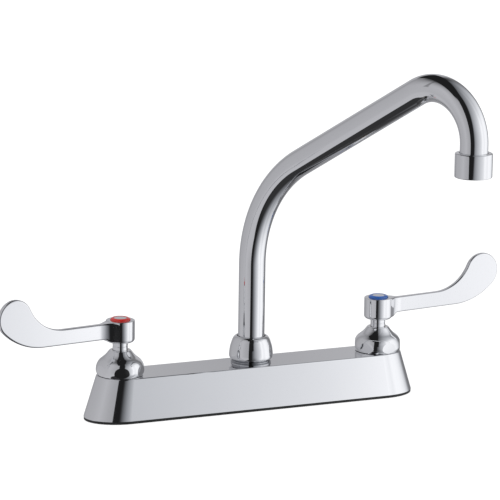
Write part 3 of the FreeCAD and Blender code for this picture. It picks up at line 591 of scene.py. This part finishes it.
def bladeFace(bm):
    # the blade's side view from the root to the head, as one face
    look = handle
    head = Vector(look["head"])
    radius = look["headRadius"]
    slope = math.radians(look["rise"])
    down = Vector((math.sin(slope), -math.cos(slope)))
    bellyCentre = touchingCentre(look["armBottom"], look["belly"], head, look["belly"] - radius)
    napeCentre = touchingCentre(look["armTop"], look["nape"], head, look["nape"] + radius)
    bellyStart = bellyCentre + down * look["belly"]
    bellyEnd = head + (head - bellyCentre).normalized() * radius
    napeStart = head + (napeCentre - head).normalized() * radius
    napeEnd = napeCentre + down * look["nape"]
    rootLow = bm.verts.new((look["rootEnd"], 0, armLine(look["rootEnd"], look["armBottom"])))
    tip = bm.verts.new((bellyStart.x, 0, bellyStart.y))
    bm.edges.new((rootLow, tip))
    turn = (bellyStart - bellyCentre).angle(bellyEnd - bellyCentre)
    tip = arcTo(bm, tip, bellyCentre, turn, look["bellySteps"])
    out, back = bellyEnd - head, napeStart - head
    tip = arcTo(bm, tip, head, math.atan2(out.cross(back), out.dot(back)) % math.tau, look["headSteps"])
    turn = (napeStart - napeCentre).angle(napeEnd - napeCentre)
    tip = arcTo(bm, tip, napeCentre, -turn, look["napeSteps"])
    rootHigh = bm.verts.new((look["rootEnd"], 0, armLine(look["rootEnd"], look["armTop"])))
    bm.edges.new((tip, rootHigh))
    bm.edges.new((rootHigh, rootLow))
    bmesh.ops.remove_doubles(bm, verts=bm.verts, dist=2 * weld)
    bmesh.ops.contextual_create(bm, geom=bm.edges[:])


def growRoot(bm):
    # carries the blade's inner end into the hub, step by step
    look = handle
    ends = [face for face in bm.faces if len(face.verts) == 4]
    root = min(ends, key=lambda face: face.calc_center_median().x)
    places = [look["rootFirst"] - look["rootStep"] * number for number in range(look["rootSteps"])]
    for u in places + look["rootLast"]:
        root = bmesh.ops.extrude_discrete_faces(bm, faces=[root])["faces"][0]
        low = armLine(u, look["armBottom"]) - grow(u, *look["droop"])
        high = armLine(u, look["armTop"]) + grow(u, *look["swell"])
        width = halfWidth(u) if u > look["block"] else look["blockWidth"]
        middle = (armLine(u, look["armBottom"]) + armLine(u, look["armTop"])) / 2
        for corner in root.verts:
            corner.co = (u, math.copysign(width, corner.co.y), low if corner.co.z < middle else high)


def makeHandle(side, x, yaw):
    look = handle
    bm = bmesh.new()
    bladeFace(bm)
    far = bmesh.ops.extrude_face_region(bm, geom=bm.faces[:])["geom"]
    end = look["head"][0] + look["headRadius"]
    for corner in bm.verts:
        corner.co.y = step(corner.co.x, look["rootEnd"], end, look["thick"], look["tipThick"]) / 2
    for corner in (item for item in far if isinstance(item, bmesh.types.BMVert)):
        corner.co.y *= -1
    growRoot(bm)
    longEdges = []
    for line in bm.edges:
        first, second = (corner.co.x for corner in line.verts)
        acrossRoot = first < look["rootEnd"] and abs(first - second) < 0.01
        bent = len(line.link_faces) == 2 and line.calc_face_angle() > math.radians(look["edgeAngle"])
        if bent and not acrossRoot:
            longEdges.append(line)
    roundEdges(bm, longEdges, look["edge"], 5, clamp=True)
    radius, low, high = look["hubRadius"], look["hubFoot"], look["hubTop"]
    foot = fillet((radius, low), look["hubRound"], (0, low), (radius, high), 8)
    rim = fillet((radius, high), look["hubRim"], (radius, low), (0, high), 4)
    hub = bmesh.new()
    turnInto(hub, [(look["bore"], low)] + foot + rim + [
        (look["well"] + look["wellLip"], high), (look["well"], high - look["wellLip"]),
        (look["well"], look["wellFloor"]), (look["screwWell"], look["wellFloor"]),
        (look["screwWell"], look["webTop"]), (look["screwHole"], look["webTop"]),
        (look["screwHole"], look["boreTop"]), (look["bore"], look["boreTop"])], 96)
    join(bm, hub)
    placeTurned(bm, yaw, x)
    finishPiece(bm, side + "Blade", side + "_valve", side + "_handle", sharp=30)


makeHandle("hot", -valveX, handle["hotYaw"])
makeHandle("cold", valveX, handle["coldYaw"])
print("handles")


# Index buttons

button = {
    "outer": [(7.2, 71.2), (7.05, 71.65), (6.6, 72.15), (6.0, 72.5), (5.3, 72.63), (4.85, 72.55),
              (4.6, 72.3)],
    "foot": 69.7, "floor": 72.1,
}
indexDisc = {
    "outline": [(0, 72.1), (4.45, 72.1), (4.5, 72.3), (4.4, 72.46), (3.9, 72.55), (2.0, 72.6), (0, 72.6)],
}


def makeIndex(side, x):
    # a coloured ring with a bright disc in its middle
    look = button
    bm = bmesh.new()
    dome = smoothThrough(look["outer"], 3)
    turnInto(bm, [(0, look["foot"]), (dome[0][0], look["foot"])] + dome + [
        (dome[-1][0], look["floor"]), (0, look["floor"])], 72, False)
    placeTurned(bm, 0, x)
    finishPiece(bm, side + "Ring", side + "_valve", side + "_index_button", sharp=40)
    bm = bmesh.new()
    turnInto(bm, indexDisc["outline"], 72, False)
    placeTurned(bm, 0, x)
    finishPiece(bm, side + "Centre", side + "_valve", side + "_index_disc", sharp=40)


makeIndex("hot", -valveX)
makeIndex("cold", valveX)
print("index buttons")


# Spout nut

nut = {
    "outline": [(14.6, 34.6), (15.55, 35.6), (15.8, 36.6), (15.8, 38.0), (15.65, 39.6), (15.45, 41.2),
                (15.15, 43.2), (14.65, 45.0), (14.15, 46.5), (13.7, 47.9), (13.1, 49.2), (12.3, 50.3),
                (11.3, 51.1)],
    "top": 51.2, "rim": 10.9, "mouth": 10.15, "mouthFlare": 0.2, "mouthDepth": 0.3, "bore": 13.25,
    "ceiling": 47.3,
}


def makeNut():
    look = nut
    bm = bmesh.new()
    turnInto(bm, smoothThrough(look["outline"], 4) + [
        (look["rim"], look["top"]), (look["mouth"] + look["mouthFlare"], look["top"]),
        (look["mouth"], look["top"] - look["mouthDepth"]), (look["mouth"], look["ceiling"]),
        (look["bore"], look["ceiling"]), (look["bore"], look["outline"][0][1])], 128)
    finishPiece(bm, "spoutNut", "base", "spout_nut")


makeNut()
print("spout nut")


# Spout tube

tube = {
    "radius": 9.525, "wall": 1.2, "reach": 203.2, "seat": 34.0, "end": 203.1, "lowCorner": 156.6,
    "highCorner": 276.6, "lowBend": 93.0, "lowSteps": 40, "highBend": 34.0, "highSteps": 64, "swing": 68.6,
}


def sweepOn(bm, ring, steps, centre=(0, 0, 0), angle=0.0, shift=(0, 0, 0)):
    # carries the tube's open end along a bend, or straight by a shift
    made = bmesh.ops.spin(bm, geom=ring, cent=centre, axis=(0, 1, 0), dvec=tuple(v / steps for v in shift),
                          angle=angle, steps=steps, use_merge=False)
    return made["geom_last"]


def makeTube():
    look = tube
    rise = look["highCorner"] - look["lowCorner"]
    slope = math.atan2(rise, look["reach"])
    lowTurn = math.pi / 2 - slope
    highTurn = math.pi - lowTurn
    lowSet = look["lowBend"] * math.tan(lowTurn / 2)
    highSet = look["highBend"] * math.tan(highTurn / 2)
    run = math.hypot(rise, look["reach"]) - lowSet - highSet
    bm = bmesh.new()
    for radius in (look["radius"], look["radius"] - look["wall"]):
        made = bmesh.ops.create_circle(bm, cap_ends=False, radius=radius, segments=96,
                                       matrix=Matrix.Translation((0, 0, look["seat"])))["verts"]
        ring = made + list({edge for corner in made for edge in corner.link_edges})
        ring = sweepOn(bm, ring, 1, shift=(0, 0, look["lowCorner"] - lowSet - look["seat"]))
        centre = (look["lowBend"], 0, look["lowCorner"] - lowSet)
        ring = sweepOn(bm, ring, look["lowSteps"], centre, lowTurn)
        ring = sweepOn(bm, ring, 1, shift=(run * math.cos(slope), 0, run * math.sin(slope)))
        centre = (look["reach"] - look["highBend"], 0, look["highCorner"] - highSet)
        ring = sweepOn(bm, ring, look["highSteps"], centre, highTurn)
        sweepOn(bm, ring, 1, shift=(0, 0, look["end"] - (look["highCorner"] - highSet)))
    rims = [edge for edge in bm.edges if edge.is_boundary]
    halfway = look["reach"] / 2
    for end in ([edge for edge in rims if edge.verts[0].co.x < halfway],
                [edge for edge in rims if edge.verts[0].co.x > halfway]):
        bmesh.ops.bridge_loops(bm, edges=end)
    bmesh.ops.rotate(bm, cent=(0, 0, 0), matrix=Matrix.Rotation(math.radians(-look["swing"]), 3, "Z"),
                     verts=bm.verts)
    finishPiece(bm, "spoutTube", "spout", "spout_tube")


makeTube()
print("spout tube")


# Outlet

outlet = {
    "foot": 195.1, "top": 211.7, "radius": 12.75, "chamfer": 1.0, "footRound": 0.8,
    "mouth": 10.0, "mouthFlare": 0.3, "seat": 196.3, "bore": 11.025, "boreTop": 210.2,
    "neck": 9.825, "neckFlare": 0.2,
}


def makeOutlet():
    look = outlet
    bm = bmesh.new()
    radius, low, high = look["radius"], look["foot"], look["top"]
    foot = fillet((radius, low), look["footRound"], (0, low), (radius, high), 5)
    rim = fillet((radius, high), look["chamfer"], (radius, low), (0, high), 5)
    mouth, neck, bore = look["mouth"], look["neck"], look["bore"]
    inside = [(neck + look["neckFlare"], high), (neck, high - look["neckFlare"]), (neck, look["boreTop"]),
              (bore, look["boreTop"]), (bore, look["seat"]), (mouth, look["seat"]),
              (mouth, low + look["mouthFlare"]), (mouth + look["mouthFlare"], low)]
    turnInto(bm, foot + rim + inside, 96)
    angle = math.radians(tube["swing"])
    placeTurned(bm, 0, tube["reach"] * math.cos(angle), -tube["reach"] * math.sin(angle))
    finishPiece(bm, "outletShell", "spout", "aerator_housing")


makeOutlet()
print("outlet")


# CAD nodes that stay

for name, node in frame["nodes"].items():
    if not node.hide_render:
        finish = finishes[slotOf[name]]
        if not node.data.materials:
            node.data.materials.append(finish)
        for place in node.material_slots:
            place.material = finish
print("finishes on the CAD nodes")


# Studio

def showToLens(tree):
    # 1 where the camera, a mirror or glass looks at the backdrop, 0 for the light that falls on the object
    seen = [tree.node("ShaderNodeLightPath", output=name)
            for name in ("Is Camera Ray", "Is Glossy Ray", "Is Transmission Ray")]
    return tree.maths("MINIMUM", seen[0] + seen[1] + seen[2], 1.0)


studio = {
    "daylight": 0.95, "floorSize": 40.0, "floorGlow": 0.8, "floorTint": (0.36, 0.36, 0.365),
}


def makeWorld():
    world = bpy.data.worlds.new("studioAir")
    bpy.context.scene.world = world
    tree = Tree(world)
    shown = showToLens(tree)
    strength = shown + (1 - shown) * studio["daylight"]
    glow = tree.node("ShaderNodeBackground", {}, {"Color": (1, 1, 1, 1), "Strength": strength})
    tree.node("ShaderNodeOutputWorld", {}, {"Surface": glow})


def stageObject(bm, name, material):
    mesh = bpy.data.meshes.new(name)
    bm.to_mesh(mesh)
    bm.free()
    mesh.materials.append(material)
    made = bpy.data.objects.new(name, mesh)
    bpy.context.scene.collection.objects.link(made)
    return made


def makeFloor():
    material, tree = newMaterial("whiteSweep")
    shown = showToLens(tree)
    matte = tree.node("ShaderNodeBsdfDiffuse", {}, {"Color": (*studio["floorTint"], 1)})
    strength = shown * studio["floorGlow"]
    glow = tree.node("ShaderNodeEmission", {}, {"Color": (1, 1, 1, 1), "Strength": strength})
    both = tree.node("ShaderNodeAddShader", {}, {0: matte, 1: glow})
    under = tree.node("ShaderNodeNewGeometry", output="Backfacing")
    clear = tree.node("ShaderNodeBsdfTransparent")
    tree.node("ShaderNodeOutputMaterial", {}, {
        "Surface": tree.node("ShaderNodeMixShader", {}, {0: under, 1: both, 2: clear})})
    bm = bmesh.new()
    bmesh.ops.create_grid(bm, x_segments=1, y_segments=1, size=studio["floorSize"] / 2)
    floor = stageObject(bm, "sweep", material)
    floor.visible_glossy = False  # mirrors see the light tent instead, which reaches below the table


# The light tent that mirrors see. Degrees run from the camera towards the right of the picture, and up
# from the level of its middle. Its radius and middle are in metres.
tent = {
    "radius": 0.6, "middle": 0.1, "strength": 1.15,
    # brightness over the direction round the object, at that level and above, and lower down
    "round": [(-180, 0.36), (-163, 0.42), (-146, 0.29), (-131, 0.36), (-118, 0.39), (-95, 0.40),
              (-75, 0.415), (-50, 0.46), (-26, 0.38), (0, 0.32), (5, 0.04), (10, 0.09), (20, 0.28),
              (30, 0.44), (40, 0.575), (46, 0.65), (53, 0.745), (57, 0.84), (60, 0.96), (74, 0.87),
              (82, 0.96), (96, 0.94), (108, 0.84), (118, 0.62), (126, 0.42), (132, 0.2), (147, 0.16),
              (155, 0.38), (163, 0.46), (180, 0.36)],
    "roundLow": [(-180, 0.36), (-163, 0.42), (-150, 0.33), (-131, 0.38), (-118, 0.44), (-80, 0.46),
                 (-40, 0.47), (-14, 0.45), (0, 0.02), (10, 0.07), (20, 0.18), (30, 0.38), (40, 0.56),
                 (50, 0.78), (60, 0.97), (74, 0.85), (90, 1.0), (110, 0.90), (120, 0.66), (127, 0.42),
                 (133, 0.2), (147, 0.16), (156, 0.36), (180, 0.36)],
    # and how it falls off with the height, on the right, on the left and behind
    "fallRight": [(-90, 0.02), (-85, 0.05), (-75, 0.15), (-65, 0.28), (-55, 0.41), (-45, 0.56),
                  (-35, 0.74), (-25, 0.93), (-16, 1.0), (24, 1.0), (30, 0.92), (40, 0.70), (50, 0.52),
                  (60, 0.37), (70, 0.2), (80, 0.04), (90, 0.02)],
    "fallLeft": [(-90, 1.0), (38, 1.0), (50, 0.84), (60, 0.56), (66, 0.25), (76, 0.04), (90, 0.02)],
    "fallBack": [(-90, 0.02), (-66, 0.08), (-60, 0.26), (-55, 0.44), (-45, 0.6), (-28, 0.8), (-10, 1.0),
                 (38, 1.0), (50, 0.84), (60, 0.56), (66, 0.25), (76, 0.04), (90, 0.02)],
    "leftTint": (0.955, 0.955, 1.0), "dimTint": (0.885, 0.92, 1.0), "brightTint": (0.975, 0.98, 1.0),
    # where one of these stops and the next starts, as the two ends of a soft step
    "lowFrom": (-8, -22), "rightStart": (0, 8), "rightEnd": (118, 138),
    "backRight": (120, 136), "backLeft": (-104, -124),
    # the dark gap at the camera, whose right edge runs further right higher up
    "gapLeft": (-12.5, -11), "gapRight": (-2, 5), "gapShift": 5, "gapStep": 8,
    "gapLow": (-2, 4), "gapHigh": (10, 52),
    # the dark panel overhead, bounded by its place across divided by its height
    "ceilingFoot": (44, 50), "ceilingLeft": (-0.37, -0.33), "ceilingRight": (0.19, 0.23),
    # the dark table on the left, whose edge climbs to the right
    "tableLowest": -58.0, "tableSlope": 0.45, "tableDrop": 21.6, "tableEdge": (2, -2),
    # a half dark seam in the cloth
    "seamLeft": (-75, -73), "seamRight": (-71, -69), "seamFoot": (20, 28), "seamDark": 0.5,
    # what is left where all else is dark
    "dim": (0.96, 0.96, 1), "dimGlow": 0.015, "dimRise": 0.02, "dimLow": (-30, -55),
}
# In degrees and millimetres, with the focal length in pixels of a square picture and the ends in metres
cameraSpot = {"azimuth": -24.73, "elevation": 11.91, "roll": 0.84, "distance": 2412.41, "right": -1.77,
              "up": 111.11, "focal": 3347.1, "picture": 500, "sensor": 36.0, "near": 0.05, "far": 200}


def makeTent():
    # grey cloth on the left, a dark gap at the camera, a soft box on the right, a dark table and ceiling
    look = tent
    material, tree = newMaterial("lightTent")
    spot = tree.place(turn=(0, 0, math.radians(-cameraSpot["azimuth"])))
    across, away, height = (tree.node("ShaderNodeSeparateXYZ", {}, {0: spot}, axis) for axis in range(3))
    turn = tree.maths("ARCTAN2", across, 0 - away) * math.degrees(1)
    lift = tree.maths("ARCSINE", (height - look["middle"]) / look["radius"]) * math.degrees(1)

    level = tree.graph(turn, look["round"])
    level = level + tree.soften(lift, *look["lowFrom"]) * (tree.graph(turn, look["roundLow"]) - level)
    right = tree.soften(turn, *look["rightStart"]) - tree.soften(turn, *look["rightEnd"])
    back = tree.soften(turn, *look["backRight"]) + tree.soften(turn, *look["backLeft"])
    fall = tree.graph(lift, look["fallLeft"])
    fall = fall + right * (tree.graph(lift, look["fallRight"]) - fall) + back * (
        tree.graph(lift, look["fallBack"]) - fall)

    edge = (look["gapShift"] + look["gapStep"] * tree.soften(lift, *look["gapLow"])
            + look["gapStep"] * tree.soften(lift, *look["gapHigh"]))
    gap = tree.soften(turn, *look["gapLeft"]) - tree.soften(turn - edge, *look["gapRight"])
    overhead = across / (height - look["middle"])
    ceiling = tree.soften(lift, *look["ceilingFoot"]) * (
        tree.soften(overhead, *look["ceilingLeft"]) - tree.soften(overhead, *look["ceilingRight"]))
    tableEdge = tree.maths("MAXIMUM", look["tableLowest"], turn * look["tableSlope"] - look["tableDrop"])
    table = tree.soften(lift - tableEdge, *look["tableEdge"]) * (1 - right) * (1 - back)
    seam = tree.soften(turn, *look["seamLeft"]) - tree.soften(turn, *look["seamRight"])
    seam = look["seamDark"] * seam * tree.soften(lift, *look["seamFoot"])
    level = level * fall * (1 - gap) * (1 - ceiling) * (1 - table) * (1 - seam)

    tint = tree.between(right, look["leftTint"], tree.between(level, look["dimTint"], look["brightTint"]))
    glow = tree.node("ShaderNodeEmission", {}, {"Color": tint, "Strength": level * look["strength"]})
    rest = look["dimGlow"] + look["dimRise"] * tree.soften(lift, *look["dimLow"])
    dim = tree.node("ShaderNodeEmission", {}, {"Color": (*look["dim"], 1), "Strength": rest})
    tree.node("ShaderNodeOutputMaterial", {}, {
        "Surface": tree.node("ShaderNodeAddShader", {}, {0: glow, 1: dim})})
    bm = bmesh.new()
    bmesh.ops.create_uvsphere(bm, u_segments=96, v_segments=48, radius=look["radius"],
                              matrix=Matrix.Translation((0, 0, look["middle"])))
    shell = stageObject(bm, "lightTent", material)
    shell.visible_camera = False
    shell.visible_diffuse = False
    shell.visible_shadow = False
    shell.visible_transmission = False


def makeCamera():
    spot = cameraSpot
    azimuth, elevation, roll = (math.radians(spot[k]) for k in ("azimuth", "elevation", "roll"))
    back = Vector((math.sin(azimuth) * math.cos(elevation), -math.cos(azimuth) * math.cos(elevation),
                   math.sin(elevation)))
    right = Vector((math.cos(azimuth), math.sin(azimuth), 0))
    up = back.cross(right)
    lens = bpy.data.cameras.new("lens")
    lens.sensor_width = spot["sensor"]
    lens.lens = spot["focal"] / spot["picture"] * spot["sensor"]
    lens.clip_start, lens.clip_end = spot["near"], spot["far"]
    camera = bpy.data.objects.new("lens", lens)
    bpy.context.scene.collection.objects.link(camera)
    across = right * math.cos(roll) + up * math.sin(roll)
    along = up * math.cos(roll) - right * math.sin(roll)
    turned = Matrix((across, along, back)).transposed().to_4x4()
    camera.matrix_world = Matrix.Translation(
        (right * spot["right"] + up * spot["up"] + back * spot["distance"]) * mm) @ turned
    bpy.context.scene.camera = camera


makeWorld()
makeFloor()
makeTent()
makeCamera()
bpy.context.scene.view_settings.view_transform = "Standard"
print("studio and camera")
